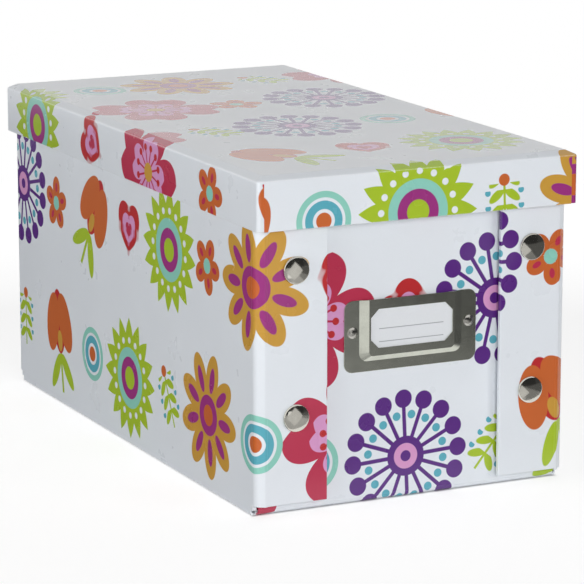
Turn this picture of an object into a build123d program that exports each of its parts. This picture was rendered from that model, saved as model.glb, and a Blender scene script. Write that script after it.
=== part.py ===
"""A snap-together storage box for compact discs, with a lift-off lid.

All sizes are in millimetres. The origin is on the floor under the middle of the box, +Z is up,
and the end with the label holder faces -Y.
"""
import os

from build123d import *

os.makedirs("parts", exist_ok=True)

# Overall sizes
box_width = 157.6  # outside of the left side to outside of the right side
box_length = 294.0  # outside of the front flaps to outside of the back flaps
overall_height = 155.6  # floor to the top of the lid

# Board and paper
board = 2.0  # tray board with its cover paper
lid_board = 1.5  # lid board with its cover paper
lining = 0.2  # white lining paper
paper_hinge = 0.6  # cover paper and lining glued together across a fold
edge_round = 0.5  # rounding of a board's edge under its paper

# Tray
fold_room = 0.6  # how far a base fold stands out past the board's thickness
end_side_gap = 0.6  # between an end board's edge and a side's lining
end_rim_gap = 0.3  # how far an end board stays below the rim
lining_margin = 0.5  # from a board's edge to its lining's edge
lining_rim_margin = 4.0  # bare strip below the rim, where the cover paper turns in

# Corner flaps and their folds
flap_width = 29.75
flap_floor_gap = 5.0
flap_fold_width = 5.0  # across the end of the box
flap_fold_depth = 5.4  # along the side of the box
flap_fold_rim_gap = 0.6  # how far a fold stays below the rim
facet_width = 3.9  # slanting strip between the fold's two bends, across the end
facet_depth = 2.25  # the same strip, along the side
side_bend = 4.0  # outer radius where the fold leaves the side
flap_bend = 1.2  # outer radius of the crease beside the flap

# Press studs
snap_gap = 2.8  # between a flap and its end board
snap_inset = 13.9  # from the flap's folded edge to the studs
snap_low = 44.7  # height of the lower studs
snap_pitch = 67.2  # lower studs to upper studs
snap_clearance = 0.2  # round each post and tube, and between parts that press together
snap_play = 0.3  # round a stud's head in its socket
cap_radius = 6.35
cap_height = 2.6
cap_rim = 0.7  # height of the rim round the dome
tube_radius = 1.9
socket_radius = 5.2
socket_floor = 0.4
head_radius = 2.7
neck_radius = 2.3
stud_flange_radius = 4.8
stud_flange = 0.4
post_radius = 1.3
post_flange_radius = 4.6
post_flange = 0.5

# Label holder, its rivets and its card
label_width = 67.3
label_height = 33.2
label_centre = 77.5  # height above the floor
label_corner = 4.2
label_plate = 0.6
pocket_rise = 1.5  # how far the window's field stands out
pocket_foot_margin = 7.55  # from the plate's side edge to the foot of the slope
pocket_side_slope = 4.3  # width of the slope beside the field
pocket_foot_below = 4.8  # from the plate's bottom edge to the foot of the slope
pocket_bottom_slope = 2.4
pocket_foot_corner = 4.0
pocket_field_corner = 2.2
window_width = 41.7
window_height = 17.9
window_corner = 3.9  # cut across each corner
window_drop = 4.6  # from the plate's top edge to the window
rivet_inset = 4.05  # from the plate's side edge
rivet_lift = 2.0  # above the middle of the plate
rivet_radius = 2.7
rivet_head = 1.3
rivet_shank_radius = 1.2
rivet_tail_radius = 2.1
rivet_tail = 0.4
card = 0.4
card_clearance = 0.2  # between the card and the back of the field, and under the card
card_side_clearance = 0.5
card_drop = 0.6  # from the plate's top edge to the card's

# Lid
skirt_depth = 24.6  # top of the lid to the bottom of its skirt
skirt_edge = 0.4  # bevel along the bottom of the skirt
lid_side_room = 0.45  # between the skirt and the box's side
lid_end_room = 3.6  # between the skirt and the flaps
lid_corner = 2.0  # upright corners of the skirt
bevel_width = 4.2  # bevelled fold, seen from above
bevel_drop = 2.0  # bevelled fold, seen from the side
bevel_lap = 1.0  # upright strip of the fold below its bevel
bevel_strip = 1.0  # thickness of that strip
bevel_edge = 0.8  # how much of the top board's edge the fold covers
bevel_round = 1.2
top_corner = 0.5

# Places that follow from the sizes above
half_width = box_width / 2
half_length = box_length / 2
end_face = half_length - board - snap_gap
end_back = end_face - board
base_fold_radius = board + fold_room
base_half_width = half_width - base_fold_radius
base_half_length = end_face - base_fold_radius
side_back = half_width - board
side_half_length = half_length - flap_fold_depth
end_half_width = side_back - lining - end_side_gap
rim = overall_height - lid_board - lining
end_top = rim - end_rim_gap
flap_edge = half_width - flap_fold_width
snap_x = flap_edge - snap_inset
snap_heights = (snap_low, snap_low + snap_pitch)
rivet_x = label_width / 2 - rivet_inset
rivet_z = label_centre + rivet_lift
lid_half_width = half_width + lid_side_room + lid_board
lid_half_length = half_length + lid_end_room + lid_board
skirt_bottom = overall_height - skirt_depth
bevel_foot = overall_height - bevel_drop - bevel_lap
top_width = 2 * (lid_half_width - bevel_width)
top_length = 2 * (lid_half_length - bevel_width)

FRONT, BACK = -1, 1
LEFT, RIGHT = -1, 1
HOLE_SIDES = 8
END_NAMES = {FRONT: "front", BACK: "back"}
SIDE_NAMES = {LEFT: "left", RIGHT: "right"}


def save(piece, name):
    """Label a finished piece and write it."""
    piece.part.label = name
    export_step(piece.part, f"parts/{name}.step")


def end_plane(end, distance):
    """Upright plane across an end, with X to the right and Z up."""
    return Plane.XZ.offset(-end * distance)


def stud_plane(end, distance, x, height):
    """Plane through a stud's axis, whose own Y points out of the box."""
    return Plane(origin=(x, end * distance, height), x_dir=(end, 0, 0), z_dir=(0, 0, 1))


def turn(plane):
    """Turn the outline drawn on a stud's plane about the stud's axis."""
    revolve(axis=Axis(plane.origin, plane.y_dir))


def punch(radius, mode=Mode.SUBTRACT):
    """Punched hole with room round a post or tube, hidden under its flange."""
    RegularPolygon(radius + snap_clearance, HOLE_SIDES, major_radius=False, mode=mode)


# Base board, its lining and the paper hinges round its edges
with BuildPart() as base_board:
    with BuildSketch(Plane.XY):
        Rectangle(2 * base_half_width, 2 * base_half_length)
    extrude(amount=board)
save(base_board, "base_board")

with BuildPart() as base_lining:
    with BuildSketch(Plane.XY.offset(board)):
        Rectangle(2 * (base_half_width - lining_margin), 2 * (base_half_length - lining_margin))
    extrude(amount=lining)
save(base_lining, "base_lining")


def base_fold(name, plane, way, centre, length):
    """Quarter ring of paper from a wall's foot to the base board's edge."""
    with BuildPart() as piece:
        with BuildSketch(plane):
            with Locations((way * centre, base_fold_radius)):
                Circle(base_fold_radius)
                Circle(base_fold_radius - paper_hinge, mode=Mode.SUBTRACT)
            with Locations((way * (centre + base_fold_radius / 2), base_fold_radius / 2)):
                Rectangle(base_fold_radius, base_fold_radius, mode=Mode.INTERSECT)
        extrude(amount=length / 2, both=True)
    save(piece, name)


for way in (LEFT, RIGHT):
    base_fold(f"{SIDE_NAMES[way]}_base_fold", Plane.XZ, way, base_half_width, 2 * base_half_length)
for way in (FRONT, BACK):
    base_fold(f"{END_NAMES[way]}_base_fold", Plane.YZ, way, base_half_length, 2 * end_half_width)


# Long sides
def side_board(side):
    """Long side, standing on its base fold, with its outer rim rounded."""
    with BuildPart() as piece:
        with BuildSketch(Plane.YZ.offset(side * half_width)):
            with Locations((0, (base_fold_radius + rim) / 2)):
                Rectangle(2 * side_half_length, rim - base_fold_radius)
        extrude(amount=-side * board)
        rim_edges = piece.edges().filter_by(Axis.Y).group_by(Axis.Z)[-1].sort_by(Axis.X)
        fillet(rim_edges[-1] if side == RIGHT else rim_edges[0], edge_round)
    save(piece, f"{SIDE_NAMES[side]}_side_board")


def side_lining(side):
    """White paper inside a long side, short of the rim."""
    top = rim - lining_rim_margin
    bottom = base_fold_radius + lining_margin
    with BuildPart() as piece:
        with BuildSketch(Plane.YZ.offset(side * side_back)):
            with Locations((0, (bottom + top) / 2)):
                Rectangle(2 * (end_back - lining - lining_margin), top - bottom)
        extrude(amount=-side * lining)
    save(piece, f"{SIDE_NAMES[side]}_side_lining")


for side in (LEFT, RIGHT):
    side_board(side)
    side_lining(side)


# Corner flaps with their folds, caps and sockets
def flap(end, side, name):
    """Board that wraps round a corner and snaps on to the end board."""
    with BuildPart() as piece:
        with BuildSketch(end_plane(end, half_length)):
            with Locations((side * (flap_edge - flap_width / 2), (flap_floor_gap + rim) / 2)):
                Rectangle(flap_width, rim - flap_floor_gap)
            with Locations(*[(side * snap_x, height) for height in snap_heights]):
                punch(tube_radius)
        extrude(amount=end * board)
        face_edges = piece.edges().group_by(Axis.Y)[0 if end == FRONT else -1].filter_by(GeomType.LINE)
        free_edge = face_edges.sort_by(Axis.X)[0 if side == RIGHT else -1]
        bottom_edge = face_edges.sort_by(Axis.Z)[0]
        fillet([free_edge, bottom_edge], edge_round)
    save(piece, name)


def flap_fold(end, side, name):
    """Bevelled strip of paper between a long side and its flap."""
    corner = [
        (half_width, side_half_length),
        (half_width, half_length - facet_depth),
        (half_width - facet_width, half_length),
        (flap_edge, half_length),
    ]
    with BuildPart() as piece:
        with BuildSketch(Plane.XY.offset(flap_floor_gap)):
            with BuildLine():
                FilletPolyline(*[(side * x, end * y) for x, y in corner], radius=[side_bend, flap_bend])
                offset(amount=paper_hinge, side=Side.LEFT if end == side else Side.RIGHT)
            make_face()
        extrude(amount=rim - flap_fold_rim_gap - flap_floor_gap)
    save(piece, name)


def snap_caps(end, side, name):
    """Domed caps outside a flap, each with the tube that holds its socket."""
    with BuildPart() as piece:
        for height in snap_heights:
            plane = stud_plane(end, half_length, side * snap_x, height)
            with BuildSketch(plane):
                with BuildLine():
                    Polyline(
                        (0, cap_height),
                        (0, -board),
                        (tube_radius, -board),
                        (tube_radius, 0),
                        (cap_radius, 0),
                        (cap_radius, cap_rim),
                    )
                    TangentArc((0, cap_height), (cap_radius, cap_rim), tangent=(1, 0))
                make_face()
            turn(plane)
    save(piece, name)


def snap_sockets(end, side, name):
    """Cups inside a flap that take the studs' heads."""
    mouth_radius = head_radius + snap_play
    socket_height = snap_gap - stud_flange - snap_clearance
    with BuildPart() as piece:
        for height in snap_heights:
            plane = stud_plane(end, half_length - board, side * snap_x, height)
            with BuildSketch(plane):
                with BuildLine():
                    Polyline(
                        (0, 0),
                        (socket_radius, 0),
                        (socket_radius, -socket_height),
                        (mouth_radius, -socket_height),
                        (mouth_radius, -socket_floor),
                        (0, -socket_floor),
                        close=True,
                    )
                make_face()
            turn(plane)
    save(piece, name)


for end in (FRONT, BACK):
    for side in (LEFT, RIGHT):
        corner_name = f"{END_NAMES[end]}_{SIDE_NAMES[side]}"
        flap(end, side, f"{corner_name}_flap")
        flap_fold(end, side, f"{corner_name}_flap_fold")
        snap_caps(end, side, f"{corner_name}_snap_caps")
        snap_sockets(end, side, f"{corner_name}_snap_sockets")


# End boards with their linings, studs and posts
snap_points = [(side * snap_x, height) for side in (LEFT, RIGHT) for height in snap_heights]
rivet_points = [(side * rivet_x, rivet_z) for side in (LEFT, RIGHT)]


def cut_holes(end):
    """Holes for the posts and, in front, for the label holder's rivets."""
    with Locations(*snap_points):
        punch(post_radius)
    if end == FRONT:
        with Locations(*rivet_points):
            punch(rivet_shank_radius)


def end_board(end):
    """End panel between the sides, standing on its base fold."""
    with BuildPart() as piece:
        with BuildSketch(end_plane(end, end_face)):
            with Locations((0, (base_fold_radius + end_top) / 2)):
                Rectangle(2 * end_half_width, end_top - base_fold_radius)
            cut_holes(end)
        extrude(amount=end * board)
    save(piece, f"{END_NAMES[end]}_end_board")


def end_lining(end):
    """White paper inside an end board, short of the rim."""
    top = end_top - lining_rim_margin
    bottom = base_fold_radius + lining_margin
    with BuildPart() as piece:
        with BuildSketch(end_plane(end, end_back)):
            with Locations((0, (bottom + top) / 2)):
                Rectangle(2 * (end_half_width - lining_margin), top - bottom)
            cut_holes(end)
        extrude(amount=end * lining)
    save(piece, f"{END_NAMES[end]}_end_lining")


def snap_studs(end):
    """Studs outside an end board: a sloping flange and a head that widens outwards."""
    head_top = snap_gap - socket_floor - snap_clearance
    with BuildPart() as piece:
        for x, height in snap_points:
            plane = stud_plane(end, end_face, x, height)
            with BuildSketch(plane):
                with BuildLine():
                    Polyline(
                        (0, 0),
                        (stud_flange_radius, 0),
                        (neck_radius, stud_flange),
                        (head_radius, head_top),
                        (0, head_top),
                        close=True,
                    )
                make_face()
            turn(plane)
    save(piece, f"{END_NAMES[end]}_snap_studs")


def snap_posts(end):
    """Posts pressed through an end board from inside, up to the studs."""
    with BuildPart() as piece:
        for x, height in snap_points:
            plane = stud_plane(end, end_back - lining, x, height)
            with BuildSketch(plane):
                with BuildLine():
                    Polyline(
                        (0, -post_flange),
                        (0, board + lining),
                        (post_radius, board + lining),
                        (post_radius, 0),
                        (post_flange_radius, 0),
                        close=True,
                    )
                make_face()
            turn(plane)
    save(piece, f"{END_NAMES[end]}_snap_posts")


for end in (FRONT, BACK):
    end_board(end)
    end_lining(end)
    snap_studs(end)
    snap_posts(end)


# Label holder: a plate stamped out into a pocket that is open at the top, with an eight-sided window
label_plane = Plane.XZ.offset(end_face).shift_origin((0, -end_face, label_centre))
foot_half_width = label_width / 2 - pocket_foot_margin
foot_bottom = pocket_foot_below - label_height / 2
field_half_width = foot_half_width - pocket_side_slope
field_bottom = foot_bottom + pocket_bottom_slope
window_centre = label_height / 2 - window_drop - window_height / 2


def pocket_outline(half, bottom, top, corner):
    """Outline of the pocket with its two lower corners rounded."""
    with Locations((0, (bottom + top) / 2)):
        Rectangle(2 * half, top - bottom)
    fillet(vertices().group_by(Axis.Y)[0], corner)


with BuildPart() as label_holder:
    with BuildSketch(label_plane):
        RectangleRounded(label_width, label_height, label_corner)
    extrude(amount=label_plate)
    with BuildSketch(label_plane.offset(label_plate)):
        pocket_outline(foot_half_width, foot_bottom, label_height / 2, pocket_foot_corner)
    with BuildSketch(label_plane.offset(label_plate + pocket_rise)):
        pocket_outline(field_half_width, field_bottom, label_height / 2, pocket_field_corner)
    loft(ruled=True)
    with BuildSketch(label_plane):
        pocket_outline(foot_half_width, foot_bottom, label_height, pocket_foot_corner)
    with BuildSketch(label_plane.offset(pocket_rise)):
        pocket_outline(field_half_width, field_bottom, label_height, pocket_field_corner)
    loft(ruled=True, mode=Mode.SUBTRACT)
    with BuildSketch(label_plane.offset(pocket_rise)):
        with Locations((0, window_centre)):
            Rectangle(window_width, window_height)
        chamfer(vertices(), window_corner)
    extrude(amount=label_plate, mode=Mode.SUBTRACT)
    with BuildSketch(label_plane):
        with Locations((-rivet_x, rivet_lift), (rivet_x, rivet_lift)):
            punch(rivet_shank_radius, mode=Mode.ADD)
    extrude(amount=label_plate, mode=Mode.SUBTRACT)
save(label_holder, "label_holder")

with BuildPart() as label_rivets:
    for x, height in rivet_points:
        rivet_plane = stud_plane(FRONT, end_face + label_plate, x, height)
        tail = -label_plate - board - lining
        with BuildSketch(rivet_plane):
            with BuildLine():
                Polyline(
                    (0, rivet_head),
                    (0, tail - rivet_tail),
                    (rivet_tail_radius, tail - rivet_tail),
                    (rivet_tail_radius, tail),
                    (rivet_shank_radius, tail),
                    (rivet_shank_radius, 0),
                    (rivet_radius, 0),
                )
                TangentArc((0, rivet_head), (rivet_radius, 0), tangent=(1, 0))
            make_face()
        turn(rivet_plane)
save(label_rivets, "label_rivets")

# Paper card in the pocket, standing on the slope at its bottom
card_front = pocket_rise - card_clearance
bottom_gradient = pocket_bottom_slope / pocket_rise
side_gradient = pocket_side_slope / pocket_rise
card_bottom = foot_bottom + bottom_gradient * card_front + card_clearance
card_half_width = foot_half_width - side_gradient * card_front - card_side_clearance
card_top = label_height / 2 - card_drop

with BuildPart() as label_card:
    with BuildSketch(label_plane.offset(card_front)):
        pocket_outline(card_half_width, card_bottom, card_top, pocket_foot_corner)
    extrude(amount=-card)
save(label_card, "label_card")

# Lid: top board, lining, four skirts and the four bevelled folds between them
with BuildPart() as lid_top_board:
    with BuildSketch(Plane.XY.offset(overall_height - lid_board)):
        RectangleRounded(top_width, top_length, top_corner)
    extrude(amount=lid_board)
save(lid_top_board, "lid_top_board")

with BuildPart() as lid_lining:
    with BuildSketch(Plane.XY.offset(rim)):
        RectangleRounded(top_width, top_length, top_corner)
    extrude(amount=lining)
save(lid_lining, "lid_lining")

mitre = bevel_width + lid_board
LID_EDGES = {
    "front": [(-1, -1), (1, -1)],
    "back": [(1, 1), (-1, 1)],
    "left": [(-1, 1), (-1, -1)],
    "right": [(1, -1), (1, 1)],
}


def mitred(edge, bottom, top):
    """Keep one edge's share of a ring, cut at 45 degrees through the lid's corners."""
    (ax, ay), (bx, by) = LID_EDGES[edge]
    inner_width = lid_half_width - mitre
    inner_length = lid_half_length - mitre
    with BuildSketch(Plane.XY.offset(bottom)) as share:
        Polygon(
            (ax * lid_half_width, ay * lid_half_length),
            (bx * lid_half_width, by * lid_half_length),
            (bx * inner_width, by * inner_length),
            (ax * inner_width, ay * inner_length),
            align=None,
        )
    extrude(share.sketch, amount=top - bottom, mode=Mode.INTERSECT)


def lid_skirt(edge):
    """Upright board of the lid, with a rounded corner shared at each mitre."""
    inside_width = 2 * (lid_half_width - lid_board)
    inside_length = 2 * (lid_half_length - lid_board)
    with BuildPart() as piece:
        with BuildSketch(Plane.XY.offset(skirt_bottom)):
            RectangleRounded(2 * lid_half_width, 2 * lid_half_length, lid_corner)
            Rectangle(inside_width, inside_length, mode=Mode.SUBTRACT)
        extrude(amount=bevel_foot - skirt_bottom)
        chamfer(piece.faces().sort_by(Axis.Z)[0].outer_wire().edges(), skirt_edge)
        mitred(edge, skirt_bottom, bevel_foot)
    save(piece, f"lid_{edge}_skirt")


def lid_fold(edge):
    """Bevelled strip of paper from a skirt's top edge to the edge of the top board."""
    bevel_bottom = bevel_foot + bevel_lap
    top_inside = overall_height - bevel_edge
    inside_width = 2 * (lid_half_width - bevel_strip)
    inside_length = 2 * (lid_half_length - bevel_strip)
    with BuildPart() as piece:
        with BuildSketch(Plane.XY.offset(bevel_foot)):
            RectangleRounded(2 * lid_half_width, 2 * lid_half_length, lid_corner)
        extrude(amount=bevel_lap)
        with BuildSketch(Plane.XY.offset(bevel_bottom)):
            RectangleRounded(2 * lid_half_width, 2 * lid_half_length, lid_corner)
        with BuildSketch(Plane.XY.offset(overall_height)):
            RectangleRounded(top_width, top_length, top_corner)
        loft(ruled=True)
        fillet(piece.edges().filter_by_position(Axis.Z, bevel_bottom, bevel_bottom), bevel_round)
        with BuildSketch(Plane.XY.offset(bevel_foot)):
            RectangleRounded(inside_width, inside_length, top_corner)
        extrude(amount=bevel_lap, mode=Mode.SUBTRACT)
        with BuildSketch(Plane.XY.offset(bevel_bottom)):
            RectangleRounded(inside_width, inside_length, top_corner)
        with BuildSketch(Plane.XY.offset(top_inside)):
            RectangleRounded(top_width, top_length, top_corner)
        loft(ruled=True, mode=Mode.SUBTRACT)
        with BuildSketch(Plane.XY.offset(top_inside)):
            RectangleRounded(top_width, top_length, top_corner)
        extrude(amount=bevel_edge, mode=Mode.SUBTRACT)
        mitred(edge, bevel_foot, overall_height)
    save(piece, f"lid_{edge}_fold")


for edge in LID_EDGES:
    lid_skirt(edge)
    lid_fold(edge)
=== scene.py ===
"""Dresses a snap-together storage box for compact discs: printed paper, linings, press studs, label holder, stage."""
import math

import bmesh
import bpy
from bpy.props import FloatProperty, FloatVectorProperty, IntProperty, PointerProperty
from mathutils import Matrix, Vector


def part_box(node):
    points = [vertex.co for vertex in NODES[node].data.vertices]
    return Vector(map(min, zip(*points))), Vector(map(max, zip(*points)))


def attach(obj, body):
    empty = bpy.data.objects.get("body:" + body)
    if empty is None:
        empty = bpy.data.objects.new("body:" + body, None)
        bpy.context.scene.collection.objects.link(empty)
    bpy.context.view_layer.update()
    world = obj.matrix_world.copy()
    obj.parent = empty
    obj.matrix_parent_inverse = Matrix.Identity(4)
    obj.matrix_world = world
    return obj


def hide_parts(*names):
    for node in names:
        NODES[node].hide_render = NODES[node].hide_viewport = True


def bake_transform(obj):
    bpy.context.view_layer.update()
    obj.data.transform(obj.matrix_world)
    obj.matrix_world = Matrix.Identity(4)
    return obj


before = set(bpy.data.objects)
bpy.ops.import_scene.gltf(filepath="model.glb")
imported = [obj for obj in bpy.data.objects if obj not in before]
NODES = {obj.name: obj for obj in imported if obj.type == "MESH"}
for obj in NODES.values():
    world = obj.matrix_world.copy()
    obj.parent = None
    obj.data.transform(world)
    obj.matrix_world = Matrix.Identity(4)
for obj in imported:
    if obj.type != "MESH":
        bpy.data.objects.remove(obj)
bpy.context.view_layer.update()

bl_info = {
    "name": "CD Storage Box",
    "version": (1, 0, 0),
    "blender": (4, 5, 0),
    "location": "View3D > Sidebar > Storage Box",
    "description": "Finishes a paper-covered storage box with press studs, a label holder and a lift-off lid",
    "category": "Object",
}

MM = 0.001
ENDS = {"front": -1, "back": 1}
SIDES = {"left": -1, "right": 1}

# Where each sheet is cut from the endless print, in millimetres
SIDE_START = {"left": 0.0, "right": 700.0}
END_START, END_SHIFT = {"front": 1520.0, "back": 2150.0}, 16.0
LID_START, LID_SHIFT = 2900.0, 68.0

# Sizes that follow the solids
HINGE_PAPER = 0.6 * MM  # cover paper and lining together
FOOT_BEND = 0.9 * MM  # crease along the foot of a long side
BEVEL_DROP = 2.0 * MM  # bevelled edge of the lid, seen from the side
SKIRT_BOARD, SKIRT_BEND, SKIRT_CORNER = 1.5 * MM, 0.5 * MM, 2.0 * MM
SKIRT_FOOT = range(0, 91, 15)  # turns of a skirt's rounded foot, in degrees
CAP_TOP, CAP_BALL, CAP_TURN = 2.6, 18.0, 18.59  # dome of a press stud's cap
PLATE, RIVET_HEAD, RIVET_RADIUS = 0.6, 1.3, 2.7  # label holder and its rivets
FOOTPRINT = (77.5 * MM, 140.5 * MM)  # half the ground that the box stands on


def shade(red, green, blue):
    """A display colour from 0 to 255 as a linear colour."""
    return tuple(((c / 255 + 0.055) / 1.055) ** 2.4 if c > 10 else c / 255 / 12.92 for c in (red, green, blue))


def colour(name, description, red, green, blue):
    """A colour setting."""
    return FloatVectorProperty(name=name, description=description, subtype="COLOR", size=3, min=0, max=1,
                               default=shade(red, green, blue))


def length(name, description, millimetres):
    """A length setting."""
    return FloatProperty(name=name, description=description, unit="LENGTH", default=millimetres * MM, precision=5)


class PaperSettings(bpy.types.PropertyGroup):
    """Colours and sizes of the papers."""

    ground: colour("Ground", "Unprinted cover paper", 236, 241, 247)
    lining: colour("Lining", "Plain lining paper", 236, 236, 230)
    card: colour("Card", "Label card", 230, 233, 237)
    crimson: colour("Crimson", "Large blossoms", 190, 48, 80)
    pink: colour("Pink", "Inside of the blossoms", 222, 158, 206)
    lime: colour("Lime", "Suns and leaves", 172, 200, 44)
    aqua: colour("Aqua", "Rings", 146, 212, 196)
    purple: colour("Purple", "Seed heads", 90, 38, 130)
    orange: colour("Orange", "Tulips, florets and ring centres", 206, 104, 48)
    mustard: colour("Mustard", "Daisy petals and blossom centres", 208, 158, 62)
    magenta: colour("Magenta", "Daisy centres and rings of the suns", 160, 50, 130)
    red: colour("Red", "Hearts", 192, 42, 46)
    teal: colour("Teal", "Rings and berries", 92, 176, 194)
    motif_pitch: length("Motif pitch", "Distance between large motifs in a row", 92)
    row_pitch: length("Row pitch", "Distance between rows of motifs", 70)
    thread: length("Thread", "Pitch of the linen emboss", 0.55)
    sheet: length("Sheet", "Thickness of the cover paper", 0.14)
    lap: length("Lap", "How far a side's paper laps on to the front and back of the lid", 3.2)


class MetalSettings(bpy.types.PropertyGroup):
    """Colours and roundings of the metal pieces."""

    nickel: colour("Nickel", "Polished caps and posts", 218, 215, 206)
    steel: colour("Steel", "Label holder", 203, 205, 194)
    spring: colour("Spring steel", "Studs, sockets and rivets", 190, 188, 182)
    edge: length("Edge", "Rounding of the label holder's edges", 0.14)
    segments: IntProperty(name="Segments", description="Facets round a turned piece", default=56, min=16)


class StageSettings(bpy.types.PropertyGroup):
    """Camera, lights and floor."""

    eye: FloatVectorProperty(name="Eye", description="Place of the camera", subtype="TRANSLATION", size=3,
                             unit="LENGTH", default=(-0.6641, -1.3883, 0.4046))
    gaze: FloatVectorProperty(name="Gaze", description="Direction of the camera", subtype="DIRECTION", size=3,
                              default=(0.4265, 0.8788, -0.2141))
    lens: FloatProperty(name="Lens", description="Focal length in millimetres", default=197.4, min=20)
    key: FloatProperty(name="Key", description="Power of the main softbox in watts", default=14.1, min=0)
    right: FloatProperty(name="Right", description="Power of the softbox at the right in watts", default=5, min=0)
    fill: FloatProperty(name="Fill", description="Power of the softbox at the left in watts", default=13.0, min=0)
    top: FloatProperty(name="Top", description="Power of the softbox above in watts", default=3.0, min=0)
    back: FloatProperty(name="Back", description="Power of the softbox behind in watts", default=17, min=0)
    ambient: FloatProperty(name="Ambient", description="Strength of the room's soft light", default=0.06, min=0)
    sheen: FloatProperty(name="Sheen", description="Brightness of the backdrop in the lid's gloss", default=1.0, min=0)
    floor: colour("Floor", "Plain floor", 243, 243, 243)


# Node trees


class Wire:
    """A number inside a node tree, so that a pattern can be written as a formula."""

    def __init__(self, tree, socket):
        self.tree = tree
        self.socket = socket

    def __add__(self, other):
        return calc(self.tree, "ADD", self, other)

    def __sub__(self, other):
        return calc(self.tree, "SUBTRACT", self, other)

    def __rsub__(self, other):
        return calc(self.tree, "SUBTRACT", other, self)

    def __mul__(self, other):
        return calc(self.tree, "MULTIPLY", self, other)

    def __truediv__(self, other):
        return calc(self.tree, "DIVIDE", self, other)

    def __pow__(self, other):
        return calc(self.tree, "POWER", self, other)

    def __mod__(self, other):
        return calc(self.tree, "FLOORED_MODULO", self, other)

    def __abs__(self):
        return calc(self.tree, "ABSOLUTE", self)

    def __floor__(self):
        return calc(self.tree, "FLOOR", self)

    def above(self, other):
        return calc(self.tree, "MAXIMUM", self, other)

    def below(self, other):
        return calc(self.tree, "MINIMUM", self, other)

    def turn(self, operation):
        return calc(self.tree, operation, self)


def put(tree, kind, **settings):
    """A new node, placed after the last one."""
    count = len(tree.nodes)
    node = tree.nodes.new(kind)
    node.location = (190 * (count // 14), -170 * (count % 14))
    for key, value in settings.items():
        setattr(node, key, value)
    return node


def feed(tree, socket, value):
    """Link a wire or another socket to an input, or set the input's own value."""
    if isinstance(value, Wire):
        tree.links.new(value.socket, socket)
    elif isinstance(value, bpy.types.NodeSocket):
        tree.links.new(value, socket)
    else:
        socket.default_value = value


def calc(tree, operation, *values, clamp=False):
    """One step of arithmetic."""
    node = put(tree, "ShaderNodeMath", operation=operation, use_clamp=clamp)
    for socket, value in zip(node.inputs, values):
        feed(tree, socket, value)
    return Wire(tree, node.outputs[0])


FACTOR, FIRST, SECOND, MIXED = 0, 6, 7, 2  # colour sockets of a mix node


def mix(tree, factor, first, second, blend="MIX"):
    """One colour over another."""
    node = put(tree, "ShaderNodeMix", data_type="RGBA", blend_type=blend)
    feed(tree, node.inputs[FACTOR], factor)
    feed(tree, node.inputs[FIRST], first)
    feed(tree, node.inputs[SECOND], second)
    return node.outputs[MIXED]


def tinted(tree, base, *tint):
    """A colour times a tint that varies over the surface."""
    return mix(tree, 1.0, base, vector(tree, *tint), "MULTIPLY")


def opaque(rgb):
    """A colour setting as a node's colour."""
    return (*rgb, 1.0)


def group(name, inputs, outputs):
    """An empty shader node group with named sockets."""
    tree = bpy.data.node_groups.new(name, "ShaderNodeTree")
    for label, kind in inputs:
        tree.interface.new_socket(name=label, in_out="INPUT", socket_type=kind)
    for label, kind in outputs:
        tree.interface.new_socket(name=label, in_out="OUTPUT", socket_type=kind)
    return tree, put(tree, "NodeGroupInput"), put(tree, "NodeGroupOutput")


def place_group(tree, name, **values):
    """A node group inside another tree, with its inputs fed."""
    node = put(tree, "ShaderNodeGroup", node_tree=bpy.data.node_groups[name])
    for label, value in values.items():
        feed(tree, node.inputs[label.replace("_", " ").capitalize()], value)
    return node


def noise(tree, vector, scale, detail=2.0, roughness=0.5):
    """A noise texture's value."""
    node = put(tree, "ShaderNodeTexNoise")
    feed(tree, node.inputs["Vector"], vector)
    node.inputs["Scale"].default_value = scale
    node.inputs["Detail"].default_value = detail
    node.inputs["Roughness"].default_value = roughness
    return Wire(tree, node.outputs[0])


def vector(tree, x, y, z=0.0):
    """A vector from three numbers."""
    node = put(tree, "ShaderNodeCombineXYZ")
    for socket, value in zip(node.inputs, (x, y, z)):
        feed(tree, socket, value)
    return node.outputs[0]


def vector_calc(tree, operation, *values):
    """One step of arithmetic on vectors."""
    node = put(tree, "ShaderNodeVectorMath", operation=operation)
    for socket, value in zip(node.inputs, values):
        feed(tree, socket, value)
    return node


def along(tree, place, direction):
    """How far a place lies along a direction."""
    return Wire(tree, vector_calc(tree, "DOT_PRODUCT", place, direction).outputs["Value"])


def parts(tree, vector_socket):
    """The three numbers of a vector."""
    node = put(tree, "ShaderNodeSeparateXYZ")
    feed(tree, node.inputs[0], vector_socket)
    return [Wire(tree, socket) for socket in node.outputs]


VECTOR, NUMBER, COLOUR = "NodeSocketVector", "NodeSocketFloat", "NodeSocketColor"


def linen_group(paper):
    """Fine crossed threads pressed into coated paper."""
    tree, given, result = group("Linen emboss", [("U", NUMBER), ("V", NUMBER)], [("Height", NUMBER)])
    u, v = (Wire(tree, socket) for socket in given.outputs[:2])
    per_mm = MM / paper.thread
    weft = noise(tree, vector(tree, u * (0.09 * per_mm), v * per_mm), 1.0, 1.5)
    warp = noise(tree, vector(tree, u * per_mm, v * (0.12 * per_mm)), 1.0, 1.5)
    feed(tree, result.inputs["Height"], weft * 0.75 + warp * 0.35)


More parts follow.
